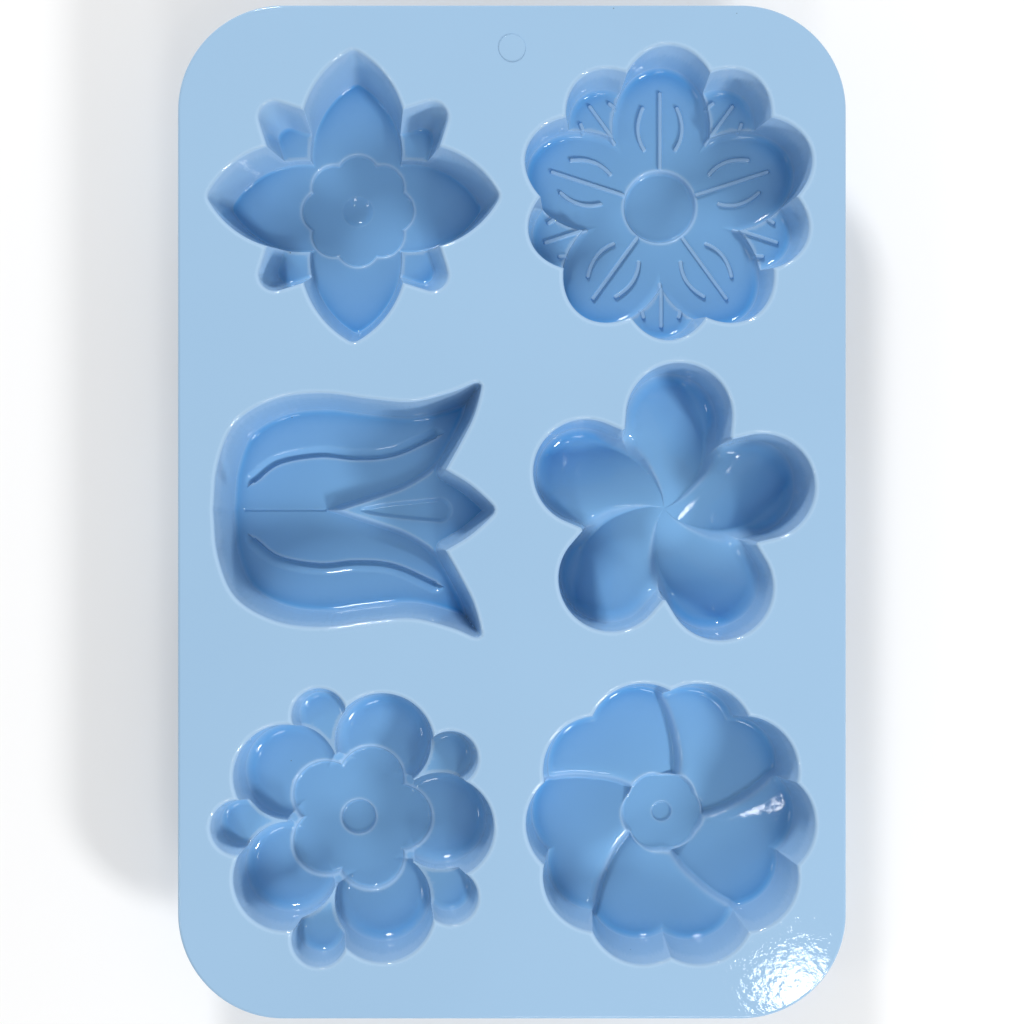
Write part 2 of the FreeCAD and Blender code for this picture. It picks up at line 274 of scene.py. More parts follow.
def lotus_outlines(x, y):
    def petal_ring(distance, arcs):
        return ring(x, y, LOTUS_PETALS, 0.0, lambda u, v: lens(u, v, distance, *arcs), SHARP)

    def tab_ring(end):
        return ring(x, y, LOTUS_PETALS, TAB_FIRST, lambda u, v: wedge(u, v, *end, TAB_SPREAD))

    return (petal_ring(LENS_DISTANCE, LENS_RIM), petal_ring(LENS_FLOOR_DISTANCE, LENS_FLOOR),
            tab_ring(TAB_RIM), tab_ring(TAB_FLOOR))


def lotus_cavity(x, y):
    rim, floor, tab_rim, tab_floor = lotus_outlines(x, y)
    x, y = x - SCALLOPS_PLACE[0], y - SCALLOPS_PLACE[1]
    petals = joined([wall(rim, floor, LENS_DEPTH, RIM_RADIUS, LENS_FLOOR_FILLET),
                     wall(tab_rim, tab_floor, TAB_DEPTH, RIM_RADIUS, TAB_FLOOR_FILLET)])
    disc = lobes(x, y, SCALLOP_COUNT, 0.0, *SCALLOPS, HEART_BLEND)
    step = sunk(disc, SCALLOP_DEPTH - LENS_DEPTH, *SCALLOPS_STEP) * ease(*SCALLOPS_FADE, petals)
    bowl = np.sqrt(np.clip(DIMPLE_SPHERE ** 2 - np.hypot(x, y) ** 2, 0.0, None))
    bowl = np.clip(bowl - math.sqrt(DIMPLE_SPHERE ** 2 - DIMPLE_RADIUS ** 2), 0.0, None)
    return petals + step + np.minimum(bowl, FULL_DEPTH - SCALLOP_DEPTH + DIMPLE_SPARE)


def lotus_skin(x, y):
    rim, floor, tab_rim, tab_floor = lotus_outlines(x, y)
    radius = np.hypot(x - SCALLOPS_PLACE[0], y - SCALLOPS_PLACE[1])
    return joined([skin(rim, floor, LENS_DEPTH), skin(tab_rim, tab_floor, TAB_DEPTH),
                   sunk_skin(radius - SCALLOPS_REACH, SCALLOP_DEPTH),
                   sunk_skin(radius - DIMPLE_RADIUS, FULL_DEPTH)])


# --- daisy ---

DAISY_PLACE = (-0.5, 0.5)
PETAL_DISTANCE = 20.5
LONG_FIRST = 90.0
LONG_RIM = (17.7, 13.3)             # half length and half width of the ellipse
LONG_FLOOR = (16.4, 12.95)
LONG_DEPTH = 23.0
SHORT_FIRST = 54.0
SHORT_RIM = (16.9, 12.7)
SHORT_FLOOR = (15.0, 11.0)
SHORT_DEPTH = 19.4
DAISY_CORE = 18.5                   # what the petals' outlines leave open round the centre
DAISY_HEART_RADIUS = 9.7
DAISY_HEART_STEP = (0.6, 0.6, 0.8)
LONG_VEIN = [(10.4, 0.0), (30.2, 0.0)]
SIDE_VEIN = [(15.3, 4.2), (20.5, 5.9), (26.3, 4.6)]
SHORT_VEIN = [(20.8, 0.0), (32.2, 0.0)]
SHORT_SIDE_VEIN = [(28.0, 5.2), (29.8, 4.7)]
VEIN_HALF_WIDTHS = (0.35, 0.65)     # of the flat top and of the foot
VEIN_HEIGHT = 0.65


def petals(x, y, size, first_angle):
    outer = ring(x, y, PETALS, first_angle, lambda u, v: ellipse(u - PETAL_DISTANCE, v, *size), SHARP)
    return np.minimum(outer, np.hypot(x, y) - DAISY_CORE)


def daisy_petals(x, y, section):
    """Both rounds of petals, as the cavity's walls or as the skin's."""
    rounds = ((LONG_RIM, LONG_FLOOR, LONG_DEPTH, LONG_FIRST),
              (SHORT_RIM, SHORT_FLOOR, SHORT_DEPTH, SHORT_FIRST))
    return [section(petals(x, y, rim, first_angle), petals(x, y, floor, first_angle), depth)
            for rim, floor, depth, first_angle in rounds]


def daisy_cavity(x, y):
    x, y = x - DAISY_PLACE[0], y - DAISY_PLACE[1]
    heart = sunk(np.hypot(x, y) - DAISY_HEART_RADIUS, FULL_DEPTH - LONG_DEPTH, *DAISY_HEART_STEP)
    veins = np.zeros(x.shape)
    for first_angle, paths in ((LONG_FIRST, (LONG_VEIN, SIDE_VEIN)),
                               (SHORT_FIRST, (SHORT_VEIN, SHORT_SIDE_VEIN))):
        (u, v), unused = folded(x, y, PETALS, first_angle)
        for path in paths:
            away, along, side = distance_to_path(u, np.abs(v), bowed(path))
            veins = np.maximum(veins, VEIN_HEIGHT * (1.0 - ease(*VEIN_HALF_WIDTHS, away)))
    return joined(daisy_petals(x, y, wall)) + heart - veins


def daisy_skin(x, y):
    x, y = x - DAISY_PLACE[0], y - DAISY_PLACE[1]
    heart = sunk_skin(np.hypot(x, y) - DAISY_HEART_RADIUS, FULL_DEPTH)
    return joined(daisy_petals(x, y, skin) + [heart])


# --- tulip ---

TULIP_BACK = [(-36.0, 0.0), (-34.8, 12.0), (-30.2, 22.5), (-20.0, 28.5), (-8.0, 30.0),
              (4.0, 28.6), (15.0, 27.8), (25.0, 30.2), (30.6, 32.5), (32.2, 32.7)]
TULIP_HORN = [(32.2, 32.7), (32.9, 31.2), (31.0, 24.0), (27.5, 17.0), (23.8, 10.4)]
TULIP_MIDDLE = [(23.8, 10.4), (30.0, 6.6), (35.4, 1.8), (36.4, 0.0)]
TULIP_DRAFT = 3.2
MIDDLE_DEPTH = 21.2
MIDDLE_EDGE = [(-8.5, 0.0), (-3.0, 1.9), (5.0, 4.5), (12.0, 7.0), (18.0, 10.5), (22.0, 14.2),
               (27.0, 21.0)]
MIDDLE_EDGE_FADE = (-0.2, 1.6)      # how far inside its edge the middle petal's level comes in
MIDDLE_BACK_FADE = (-9.5, -7.5)     # and where it does along the stem's axis
MIDDLE_BLEND = 0.6
TONGUE = [(1.0, 0.0), (22.2, 0.0)]
TONGUE_END_RADIUS = 3.3
TONGUE_DEPTH = 1.0
TONGUE_STEP = (1.0, 0.5, 0.6)
FLOOR_FADE = (3.0, 0.5)             # above the floor, where ribs and the seam come in
RIB = [(-27.5, 7.8), (-21.0, 12.6), (-10.0, 14.6), (0.0, 13.8), (10.0, 14.8), (21.0, 19.6)]
RIB_EDGE_FADE = (-0.5, 0.1)
RIB_WIDTH = 2.9
RIB_DEPTH = 1.5
SEAM = [(-30.0, 0.0), (-8.5, 0.0)]
SEAM_HALF_WIDTH = 0.5
SEAM_DEPTH = 0.4


def inside_polygon(x, y, points):
    inside = np.zeros(x.shape, bool)
    for (x0, y0), (x1, y1) in zip(points, points[1:] + points[:1]):
        if y0 == y1:
            continue
        crosses = (y0 > y) != (y1 > y)
        inside ^= crosses & (x < (x1 - x0) * (y - y0) / (y1 - y0) + x0)
    return inside


def tulip_rim(x, y):
    back, horn, middle = (curve_points(points) for points in (TULIP_BACK, TULIP_HORN, TULIP_MIDDLE))
    half = back[:-1] + horn[:-1] + middle
    whole = half + [(px, -py) for px, py in half[-2:0:-1]]
    away, along, side = distance_to_path(x, y, whole + whole[:1])
    return np.where(inside_polygon(x, y, whole), -away, away) + 0.0


def tulip_cavity(x, y):
    rim = tulip_rim(x, y)
    hull = wall(rim, rim + TULIP_DRAFT, FULL_DEPTH, RIM_RADIUS, FLOOR_RADIUS)
    upper = np.abs(y)
    away, along, side = distance_to_path(x, upper, curve_points(MIDDLE_EDGE))
    middle = ease(*MIDDLE_EDGE_FADE, -away * side) * ease(*MIDDLE_BACK_FADE, x)
    floor = FULL_DEPTH - (FULL_DEPTH - MIDDLE_DEPTH) * middle
    result = smooth_min(hull, floor, MIDDLE_BLEND)
    ready = ease(FULL_DEPTH - FLOOR_FADE[0], FULL_DEPTH - FLOOR_FADE[1], hull)
    away, along, side = distance_to_path(x, y, TONGUE)
    length = TONGUE[1][0] - TONGUE[0][0]
    half_width = TONGUE_END_RADIUS * np.sqrt(np.clip(along / length, 0.0, 1.0))
    result = result + sunk(away - half_width, TONGUE_DEPTH, *TONGUE_STEP) * middle
    away, along, side = distance_to_path(x, upper, curve_points(RIB))
    signed = away * side
    channel = (1.0 - ease(0.0, RIB_WIDTH, signed)) * ease(*RIB_EDGE_FADE, signed)
    result = result + RIB_DEPTH * channel * ready
    away, along, side = distance_to_path(x, y, SEAM)
    return result + groove(away, SEAM_HALF_WIDTH, SEAM_DEPTH) * ready


def tulip_skin(x, y):
    rim = tulip_rim(x, y)
    return skin(rim, rim + TULIP_DRAFT, FULL_DEPTH)


# --- pinwheel and blossom: petals between swirl edges ---

STEP_SLOPE = 2.6                    # of the wall between one petal's deep side and the next petal
STEP_SHOULDER = 0.22                # how round the wall's top is, and its foot, as parts of its height
STEP_FOOT = 0.6


def swirl_bed(x, y, edge, floor, slope=STEP_SLOPE):
    """Depth of petals that each step up, at their clockwise end, to the start of the next.

    The edge is a run of (radius, angle) from the centre outward. The floor is a function of
    the radius and of the degrees clockwise from the petal's own edge, a little past both ends.
    """
    radius = np.hypot(x, y)
    radii, angles = zip(*edge)
    turn = np.mod(np.interp(radius, radii, angles) - np.degrees(np.arctan2(y, x)), PETAL_STEP)
    before, own, after = (floor(radius, turn + shift) for shift in (PETAL_STEP, 0.0, -PETAL_STEP))
    from_start = np.radians(turn) * radius
    to_end = np.radians(PETAL_STEP - turn) * radius
    first_step = np.clip(before - own, 0.0, None) + 1e-6
    last_step = np.clip(own - after, 0.0, None) + 1e-6
    shoulder = np.hypot(from_start, STEP_SHOULDER * first_step) - from_start
    rise = np.hypot(to_end, STEP_SHOULDER * last_step) + to_end
    return smooth_min(own + slope * shoulder / 2.0, after + slope * rise / 2.0,
                      STEP_FOOT * last_step)


PINWHEEL_LOBES = (23.8, 13.6)
PINWHEEL_FLOOR = (23.3, 12.2)
PINWHEEL_FIRST = 85.4
PINWHEEL_PLACE = (0.3, 0.5)
PINWHEEL_CORE = 23.7
PINWHEEL_SWIRL = [(0.0, 20.0), (4.0, 27.0), (6.0, 31.0), (9.0, 34.6), (11.5, 37.2), (14.4, 39.6),
                  (17.0, 42.8), (21.0, 47.6), (24.2, 49.4), (40.0, 52.0)]
PINWHEEL_CENTRE = 19.8
PINWHEEL_LINE = 50.0                # the straight line that each petal's floor is built on, in degrees
PINWHEEL_RISE = 0.106               # outward along that line
PINWHEEL_FALL = (-0.042, 0.0185)    # clockwise from it, per millimetre and per square millimetre
PINWHEEL_BLEND = 1.0
PINWHEEL_FILLET = 3.6


def pinwheel_floor(radius, turn):
    edge_radii, edge_angles = zip(*PINWHEEL_SWIRL)
    angle = np.radians(turn + PINWHEEL_LINE - np.interp(radius, edge_radii, edge_angles))
    along, across = radius * np.cos(angle), radius * np.sin(angle)
    fall = PINWHEEL_FALL[0] * across + PINWHEEL_FALL[1] * across * np.abs(across)
    return smooth_min(PINWHEEL_CENTRE - PINWHEEL_RISE * along + fall, FULL_DEPTH, PINWHEEL_BLEND)


def long_lobe(u, v, distance, radius):
    """A lobe that keeps its full width all the way in to the centre."""
    return np.hypot(u - np.clip(u, 0.0, distance), v) - radius


def pinwheel_outlines(x, y):
    rim, floor = (ring(x, y, PETALS, PINWHEEL_FIRST, lambda u, v: long_lobe(u, v, *lobe), SHARP)
                  for lobe in (PINWHEEL_LOBES, PINWHEEL_FLOOR))
    return smooth_min(rim, np.hypot(x, y) - PINWHEEL_CORE, SHARP), floor


def pinwheel_cavity(x, y):
    x, y = x - PINWHEEL_PLACE[0], y - PINWHEEL_PLACE[1]
    rim, floor = pinwheel_outlines(x, y)
    bed = swirl_bed(x, y, PINWHEEL_SWIRL, pinwheel_floor)
    return wall(rim, floor, bed, RIM_RADIUS, PINWHEEL_FILLET)


def pinwheel_skin(x, y):
    rim, floor = pinwheel_outlines(x - PINWHEEL_PLACE[0], y - PINWHEEL_PLACE[1])
    return skin(rim, floor, FULL_DEPTH)


BLOSSOM_PLACE = (0.0, 1.0)
BLOSSOM_COUNT = 2 * PETALS
BLOSSOM_LOBES = (22.96, 14.2)
BLOSSOM_FLOOR = (21.6, 13.0)
BLOSSOM_FIRST = 72.0
BLOSSOM_SWIRL = [(0.0, 50.0), (11.0, 68.0), (20.0, 80.0), (30.0, 90.0), (45.0, 98.0)]
BLOSSOM_DEEP = 24.4
BLOSSOM_SHALLOW = 20.0
BLOSSOM_EARLY = 0.7                 # the part of the fall that an even slope takes
BLOSSOM_STEP_SLOPE = 5.0
BLOSSOM_HEART = (3.5, 7.1)
BLOSSOM_HEART_COUNT = 6
BLOSSOM_HEART_LEVEL = 22.6          # of the flat that the heart is sunk into
BLOSSOM_HEART_FADE = (-0.6, 0.2)    # how far inside the heart's outline the flat comes in
BLOSSOM_HEART_DEPTH = 1.0
BLOSSOM_HEART_STEP = (0.5, 0.4, 0.4)
BLOSSOM_EYE_RADIUS = 2.7
BLOSSOM_EYE_DEPTH = 0.7
BLOSSOM_EYE_STEP = (0.4, 0.3, 0.3)


def blossom_outlines(x, y):
    rim = lobes(x, y, BLOSSOM_COUNT, BLOSSOM_FIRST, *BLOSSOM_LOBES, SHARP)
    floor = lobes(x, y, BLOSSOM_COUNT, BLOSSOM_FIRST, *BLOSSOM_FLOOR, SHARP)
    return rim, floor


def blossom_floor(radius, turn):
    part = turn / PETAL_STEP
    fall = BLOSSOM_EARLY * part + (1.0 - BLOSSOM_EARLY) * part * np.abs(part)
    return BLOSSOM_SHALLOW + (BLOSSOM_DEEP - BLOSSOM_SHALLOW) * fall


def blossom_cavity(x, y):
    x, y = x - BLOSSOM_PLACE[0], y - BLOSSOM_PLACE[1]
    rim, floor = blossom_outlines(x, y)
    bed = swirl_bed(x, y, BLOSSOM_SWIRL, blossom_floor, BLOSSOM_STEP_SLOPE)
    heart = lobes(x, y, BLOSSOM_HEART_COUNT, 0.0, *BLOSSOM_HEART, HEART_BLEND)
    bed = bed + (BLOSSOM_HEART_LEVEL - bed) * ease(*BLOSSOM_HEART_FADE, -heart)
    bed = bed + sunk(heart, BLOSSOM_HEART_DEPTH, *BLOSSOM_HEART_STEP)
    bed = bed + sunk(np.hypot(x, y) - BLOSSOM_EYE_RADIUS, BLOSSOM_EYE_DEPTH, *BLOSSOM_EYE_STEP)
    return wall(rim, floor, bed)


def blossom_skin(x, y):
    rim, floor = blossom_outlines(x - BLOSSOM_PLACE[0], y - BLOSSOM_PLACE[1])
    return skin(rim, floor, FULL_DEPTH)


# --- rosette ---

ROSETTE_PLACE = (0.5, 0.0)
ROSETTE_PETALS = (22.2, 13.4)
ROSETTE_FLOOR = (21.6, 12.1)
ROSETTE_DEPTH = 21.4
ROSETTE_BUDS = (30.2, 7.1)
ROSETTE_BUD_FLOOR = (29.5, 5.8)
ROSETTE_BUD_DEPTH = 12.5
ROSETTE_HEART_Y = -0.5
ROSETTE_HEART = (10.6, 9.1)
ROSETTE_HEART_DEPTH = 23.8
ROSETTE_HEART_STEP = (0.6, 0.8, 0.8)
ROSETTE_EYE_RADIUS = 4.7
ROSETTE_EYE_STEP = (0.5, 0.4, 0.5)
ROSETTE_PETAL_FILLET = 3.5


def rosette_outlines(x, y):
    """Of the petals' rim and floor, and of the buds'."""
    petal_rings = [lobes(x, y, PETALS, 0.0, *circles, SHARP)
                   for circles in (ROSETTE_PETALS, ROSETTE_FLOOR)]
    bud_rings = [ring(x, y, PETALS, PETAL_STEP / 2.0, lambda u, v: wedge(u, v, *bud, 0.0))
                 for bud in (ROSETTE_BUDS, ROSETTE_BUD_FLOOR)]
    return petal_rings, bud_rings


def rosette_cavity(x, y):
    x, y = x - ROSETTE_PLACE[0], y - ROSETTE_PLACE[1]
    petal_rings, bud_rings = rosette_outlines(x, y)
    result = joined([wall(*petal_rings, ROSETTE_DEPTH, RIM_RADIUS, ROSETTE_PETAL_FILLET),
                     wall(*bud_rings, ROSETTE_BUD_DEPTH)])
    y = y - ROSETTE_HEART_Y
    heart = lobes(x, y, PETALS, 0.0, *ROSETTE_HEART, HEART_BLEND)
    result = result + sunk(heart, ROSETTE_HEART_DEPTH - ROSETTE_DEPTH, *ROSETTE_HEART_STEP)
    eye = np.hypot(x, y) - ROSETTE_EYE_RADIUS
    return result + sunk(eye, FULL_DEPTH - ROSETTE_HEART_DEPTH, *ROSETTE_EYE_STEP)


def rosette_skin(x, y):
    x, y = x - ROSETTE_PLACE[0], y - ROSETTE_PLACE[1]
    petal_rings, bud_rings = rosette_outlines(x, y)
    y = y - ROSETTE_HEART_Y
    heart = lobes(x, y, PETALS, 0.0, *ROSETTE_HEART)
    return joined([skin(*petal_rings, ROSETTE_DEPTH), skin(*bud_rings, ROSETTE_BUD_DEPTH),
                   sunk_skin(heart, ROSETTE_HEART_DEPTH),
                   sunk_skin(np.hypot(x, y) - ROSETTE_EYE_RADIUS, FULL_DEPTH)])


# --- meshing: right triangles that halve wherever the surface needs it ---

EDGE_HIGHLIGHT = "raised"                   # the mesh attribute that marks raised edges for a painted highlight
EDGE_HIGHLIGHT_REACH = 0.55                 # each average reaches this far, in millimetres
EDGE_HIGHLIGHT_RANGE = (0.04, 0.34)         # height above the average where an edge begins and is complete
FLOOR_SHADE = "floor_shade"                   # and the one that marks floors close to high walls for painted shade
FLOOR_SHADE_REACH = 4.0
FLOOR_SHADE_RANGE = (1.0, 13.0)
AVERAGES = 3
SHARE_TOLERANCE = 0.3               # how far an attribute may stray
ON_LINE = 1e-6                      # a point this near an outline lies on it


def averaged(depth, reach):
    """The depth averaged over a square that reaches this many grid steps each way."""
    count = 2 * reach + 1
    for turn in range(2):
        padded = np.pad(depth, ((reach + 1, reach), (0, 0)), mode="edge")
        total = np.cumsum(padded, axis=0)
        depth = ((total[count:] - total[:-count]) / count).T
    return depth


def above_average(depth, reach):
    """How far each grid point stands above what lies round it, in millimetres."""
    cell = 2.0 * CELL_HALF / (depth.shape[0] - 1)
    level = depth
    for turn in range(AVERAGES):
        level = averaged(level, round(reach / cell))
    return level - depth


def stray(depth):
    """For each grid point, how far the surface strays if it and all that hang on it are left out."""
    across, along = np.gradient(depth, 2.0 * CELL_HALF / (depth.shape[0] - 1))
    weight = 1.0 / np.sqrt(1.0 + across ** 2 + along ** 2)
    error = np.zeros(depth.shape)
    size = depth.shape[0] - 1
    step = 2
    while step <= size:
        half, quarter = step // 2, step // 4
        for z, w, e in ((depth, weight, error), (depth.T, weight.T, error.T)):
            middle = (slice(0, None, step), slice(half, None, step))
            miss = np.abs(z[middle] - (z[::step, :-1:step] + z[::step, step::step]) / 2.0) * w[middle]
            if quarter:
                padded = np.pad(e, ((quarter, quarter), (0, 0)))
                for row in (0, 2 * quarter):
                    for column in (half - quarter, half + quarter):
                        near = padded[row:row + size + 1:step, column::step]
                        miss = np.maximum(miss, near[:miss.shape[0], :miss.shape[1]])
            e[middle] = miss
        low, high = depth[:-1:step, :-1:step], depth[step::step, step::step]
        left, right = depth[step::step, :-1:step], depth[:-1:step, step::step]
        row, column = np.indices(low.shape)
        ends = np.where((row + column) % 2 == 0, low + high, left + right) / 2.0
        middle = (slice(half, None, step), slice(half, None, step))
        miss = np.abs(depth[middle] - ends) * weight[middle]
        for near in (error[:-1:step, half::step], error[step::step, half::step],
                     error[half::step, :-1:step], error[half::step, step::step]):
            miss = np.maximum(miss, near)
        error[middle] = miss
        step *= 2
    return error


def grid_triangles(depth, shares, tolerance):
    """Corner indices of the triangles that keep within the tolerance."""
    error = stray(depth)
    for share in shares.values():
        error = np.maximum(error, stray(share) * tolerance / SHARE_TOLERANCE)
    size = depth.shape[0] - 1
    tile = size // CELL_TILES
    error[tile // 2::tile, tile // 2::tile] = np.inf
    for step in (tile, 2 * tile, 4 * tile, 8 * tile):
        error[::step, step // 2::step] = np.inf
        error[step // 2::step, ::step] = np.inf
        error[step // 2::step, step // 2::step] = np.inf
    a = np.array([[0, 0], [size, size]])
    b = np.array([[size, size], [0, 0]])
    c = np.array([[0, size], [size, 0]])
    kept = []
    while len(a):
        middle = (a + b) // 2
        split = ((a + b) % 2 == 0).all(axis=1) & (error[middle[:, 0], middle[:, 1]] > tolerance)
        kept.append(np.stack([a[~split], b[~split], c[~split]], axis=1))
        a, b, c, middle = a[split], b[split], c[split], middle[split]
        a, b, c = np.concatenate([c, b]), np.concatenate([a, c]), np.concatenate([middle, middle])
    return np.concatenate(kept)


def drop_corners(triangles, size):
    """Leaves out the triangles in the four corner tiles of a cell."""
    tile = size // CELL_TILES
    centre = triangles.mean(axis=1)
    outer = (centre < tile) | (centre > size - tile)
    return triangles[~outer.all(axis=1)]


def cell_outline(cut_corners):
    """Corners of a cell's outline, anticlockwise from above, in millimetres from its centre."""
    h = CELL_HALF
    if not cut_corners:
        return [(-h, -h), (h, -h), (h, h), (-h, h)]
    t = h - 2.0 * h / CELL_TILES
    return [(-t, -h), (t, -h), (t, -t), (h, -t), (h, t), (t, t), (t, h), (-t, h), (-t, t), (-h, t),
            (-h, -t), (-t, -t)]


def surface(depth, tolerance, cut_corners, upward):
    """Vertices, triangles, normals and attributes of one side of a cell."""
    size = depth.shape[0] - 1
    cell = 2.0 * CELL_HALF / size
    shares = {}
    if upward:
        # marks for the painted highlight on raised edges
        shares[EDGE_HIGHLIGHT] = ease(*EDGE_HIGHLIGHT_RANGE, above_average(depth, EDGE_HIGHLIGHT_REACH))
        # and for the painted shade on floors close to high walls
        shares[FLOOR_SHADE] = ease(*FLOOR_SHADE_RANGE, -above_average(depth, FLOOR_SHADE_REACH))
    triangles = grid_triangles(depth, shares, tolerance)
    if cut_corners:
        triangles = drop_corners(triangles, size)
    flat = triangles[:, :, 0] * (size + 1) + triangles[:, :, 1]
    used, faces = np.unique(flat, return_inverse=True)
    faces = faces.reshape(-1, 3)
    column, row = used // (size + 1), used % (size + 1)
    slope_x, slope_y = np.gradient(depth, cell)
    points = np.stack([column * cell - CELL_HALF, row * cell - CELL_HALF, TOP - depth[column, row]],
                      axis=1)
    normals = np.stack([slope_x[column, row], slope_y[column, row], np.ones(len(used))], axis=1)
    normals /= np.linalg.norm(normals, axis=1)[:, None]
    if not upward:
        faces, normals = faces[:, ::-1], -normals
    return points, faces, normals, {name: share[column, row] for name, share in shares.items()}


def on_side(points, start, end):
    """Indices of the points on one side of the outline, in order along it."""
    start, end = np.array(start), np.array(end)
    length = np.linalg.norm(end - start)
    direction = (end - start) / length
    offset = points[:, :2] - start
    along = offset @ direction
    away = np.abs(offset[:, 0] * direction[1] - offset[:, 1] * direction[0])
    found = np.nonzero((away < ON_LINE) & (along > -ON_LINE) & (along < length + ON_LINE))[0]
    found = found[np.argsort(along[found])]
    return found, along[found]


def skirt(top, bottom, outline):
    """Triangles that close the gap between the two sides of a cell, all round its outline."""
    faces, normals = [], []
    for start, end in zip(outline, outline[1:] + outline[:1]):
        upper, upper_along = on_side(top, start, end)
        lower, lower_along = on_side(bottom, start, end)
        outward = Vector((end[1] - start[1], start[0] - end[0], 0.0)).normalized()
        i = j = 0
        last_upper, last_lower = len(upper) - 1, len(lower) - 1
        while i < last_upper or j < last_lower:
            if j == last_lower or (i < last_upper and upper_along[i + 1] <= lower_along[j + 1]):
                faces.append((lower[j] + len(top), upper[i + 1], upper[i]))
                i += 1
            else:
                faces.append((lower[j] + len(top), lower[j + 1] + len(top), upper[i]))
                j += 1
            normals.append(outward)
    return np.array(faces), np.repeat(np.array(normals), 3, axis=0)


def make_mesh(name, points, faces, corner_normals, material):
    """An object from millimetre points, triangles and one normal for each triangle's corner."""
    mesh = bpy.data.meshes.new(name)
    mesh.vertices.add(len(points))
    mesh.vertices.foreach_set("co", (np.asarray(points) * MM).ravel())
    mesh.loops.add(3 * len(faces))
    mesh.loops.foreach_set("vertex_index", np.asarray(faces).ravel())
    mesh.polygons.add(len(faces))
    mesh.polygons.foreach_set("loop_start", np.arange(len(faces)) * 3)
    mesh.update()
    mesh.validate()
    mesh.shade_smooth()
    mesh.normals_split_custom_set(np.asarray(corner_normals))
    mesh.materials.append(material)
    piece = bpy.data.objects.new(name, mesh)
    bpy.context.scene.collection.objects.link(piece)
    return piece


def cell_piece(name, place, cavity, outer, cut_corners, material):
    """One flower: its cavity above, its outer skin below, closed round the edge of its cell."""
    sides = []
    for shape, steps, tolerance, upward in ((cavity, FINE_STEPS, FINE_TOLERANCE, True),
                                            (outer, COARSE_STEPS, COARSE_TOLERANCE, False)):
        ticks = np.linspace(-CELL_HALF, CELL_HALF, steps + 1)
        x, y = np.meshgrid(ticks, ticks, indexing="ij")
        sides.append(surface(shape(x, y), tolerance, cut_corners, upward))
    (top, top_faces, top_normals, shares), (bottom, bottom_faces, bottom_normals, unused) = sides
    edge_faces, edge_normals = skirt(top, bottom, cell_outline(cut_corners))
    points = np.concatenate([top, bottom]) + np.array([place[0], place[1], 0.0])
    faces = np.concatenate([top_faces, bottom_faces + len(top), edge_faces])
    corner_normals = np.concatenate([top_normals[top_faces.ravel()],
                                     bottom_normals[bottom_faces.ravel()], edge_normals])
    piece = make_mesh(name, points, faces, corner_normals, material)
    for attribute, share in shares.items():
        values = np.concatenate([share, np.zeros(len(bottom))])
        piece.data.attributes.new(attribute, "FLOAT", "POINT").data.foreach_set("value", values)
    return piece


# --- the sheet round the cells ---

CORNER_SEGMENTS = 40
EDGE_SEGMENTS = 8
PIP_SEGMENTS = 48
PIP_FOOT = 0.5                      # how deep the pip reaches into the sheet


def sheet_outline():
    """Round the sheet, anticlockwise: the middle of each point's corner and the direction from it."""
    outline = []
    for quarter, (sign_x, sign_y) in enumerate(((1, 1), (-1, 1), (-1, -1), (1, -1))):
        middle = (sign_x * (SHEET_HIGH.x - CORNER_RADIUS), sign_y * (SHEET_HIGH.y - CORNER_RADIUS))
        for index in range(CORNER_SEGMENTS + 1):
            angle = math.radians(90.0 * (quarter + index / CORNER_SEGMENTS))
            outline.append((middle, (math.cos(angle), math.sin(angle))))
    return outline


def sheet_piece(cells, material):
    """The flat sheet with a rounded edge and a hole for each cell."""
    points, faces, normals = [], [], []

    def add(corner_points, corner_normals):
        faces.append((len(points), len(points) + 1, len(points) + 2))
        points.extend(corner_points)
        normals.extend(corner_normals)

    bottom_z = TOP - SHEET_THICKNESS
    outline = sheet_outline()
    rings, slopes = [], []
    for start, centre_z in ((90.0, TOP - EDGE_RADIUS), (0.0, bottom_z + EDGE_RADIUS)):
        for index in range(EDGE_SEGMENTS + 1):
            angle = math.radians(start - 90.0 * index / EDGE_SEGMENTS)
            out, up = math.cos(angle), math.sin(angle)
            radius = CORNER_RADIUS - EDGE_RADIUS * (1.0 - out)
            rings.append([(cx + radius * dx, cy + radius * dy, centre_z + EDGE_RADIUS * up)
                          for (cx, cy), (dx, dy) in outline])
            slopes.append([(dx * out, dy * out, up) for middle, (dx, dy) in outline])
    for upper in range(len(rings) - 1):
        for index in range(len(outline)):
            after = (index + 1) % len(outline)
            places = ((upper + 1, index), (upper + 1, after), (upper, after), (upper, index))
            corners = [rings[level][place] for level, place in places]
            directions = [slopes[level][place] for level, place in places]
            add(corners[:3], directions[:3])
            add(corners[:1] + corners[2:], directions[:1] + directions[2:])
    holes = []
    for place, cut_corners in cells:
        holes.append([(place[0] + px, place[1] + py) for px, py in cell_outline(cut_corners)])
    loops = [[corner[:2] for corner in rings[0]]] + holes
    flat = [corner for loop in loops for corner in loop]
    for a, b, c in tessellate_polygon([[Vector((px, py, 0.0)) for px, py in loop] for loop in loops]):
        p, q, r = flat[a], flat[b], flat[c]
        if (q[0] - p[0]) * (r[1] - p[1]) - (q[1] - p[1]) * (r[0] - p[0]) < 0.0:
            q, r = r, q
        add([(*p, TOP), (*q, TOP), (*r, TOP)], [(0, 0, 1)] * 3)
        add([(*p, bottom_z), (*r, bottom_z), (*q, bottom_z)], [(0, 0, -1)] * 3)
    for hole in holes:
        for start, end in zip(hole, hole[1:] + hole[:1]):
            inward = Vector((start[1] - end[1], end[0] - start[0], 0.0)).normalized()
            add([(*start, bottom_z), (*start, TOP), (*end, TOP)], [inward] * 3)
            add([(*start, bottom_z), (*end, TOP), (*end, bottom_z)], [inward] * 3)
    whole = np.round(np.array(points), 6)
    unique, index = np.unique(whole, axis=0, return_inverse=True)
    return make_mesh("sheet", unique, index.reshape(-1, 3), normals, material)


